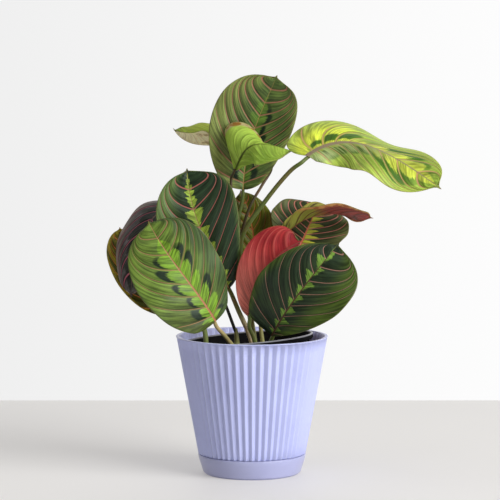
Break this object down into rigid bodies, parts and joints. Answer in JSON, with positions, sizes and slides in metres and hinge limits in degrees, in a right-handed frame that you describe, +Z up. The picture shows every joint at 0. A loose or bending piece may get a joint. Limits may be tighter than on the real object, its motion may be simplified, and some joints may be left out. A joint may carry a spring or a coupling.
{
  "type": "potted prayer plant",
  "caption": "Prayer plant (maranta) with broad patterned leaves on slim stems, growing in a nursery pot inside a pleated cover pot on its saucer.",
  "frame": {"origin": "centre of the saucer's flat underside, on the pot's axis, on the surface that it stands on", "axes": "+Z up along the cover pot's axis, +X to the side where the long yellow-green leaf reaches out, -Y to the front that the leaves face"},
  "size_m": [0.3078, 0.1508, 0.3668],
  "materials": {
    "pot_glaze": "satin lavender glaze",
    "black_plastic": "thin shiny black plastic",
    "potting_soil": "dark crumbly peat soil",
    "stem": "smooth green stems, olive and pinkish at the sheaths",
    "leaf_dark_green": "satin leaf, near-black green with pink veins and a light green feather along the midrib",
    "leaf_mid_green": "satin leaf, mid green with dark blotches, brown-pink veins and a bright green feather",
    "leaf_yellow_green": "satin leaf, yellow-green with dark blotches and pink-brown veins",
    "leaf_olive": "backlit olive leaf with orange veins",
    "leaf_purple_green": "dark purple-grey leaf with pink veins",
    "leaf_red_underside": "matte red-pink underside with raised ribs"
  },
  "bodies": {
    "root": {"saucer": "pot_glaze", "pot": "pot_glaze", "nursery_pot": "black_plastic", "soil": "potting_soil", "shoot_tall": "stem", "shoot_mid_left": "stem", "shoot_left": "stem", "shoot_far_left": "stem", "shoot_red": "stem", "shoot_right": "stem", "shoot_front_right": "stem", "leaf_top": "leaf_mid_green", "leaf_folded": "leaf_yellow_green", "leaf_back_left": "leaf_mid_green", "leaf_long_right": "leaf_yellow_green", "leaf_mid_left": "leaf_dark_green", "leaf_front_left": "leaf_mid_green", "leaf_drooping": "leaf_purple_green", "leaf_olive_left": "leaf_olive", "leaf_olive_centre": "leaf_olive", "leaf_red": "leaf_red_underside", "leaf_front_right": "leaf_dark_green", "leaf_back_right": "leaf_dark_green", "leaf_rolled": "leaf_red_underside"}
  },
  "joints": []
}
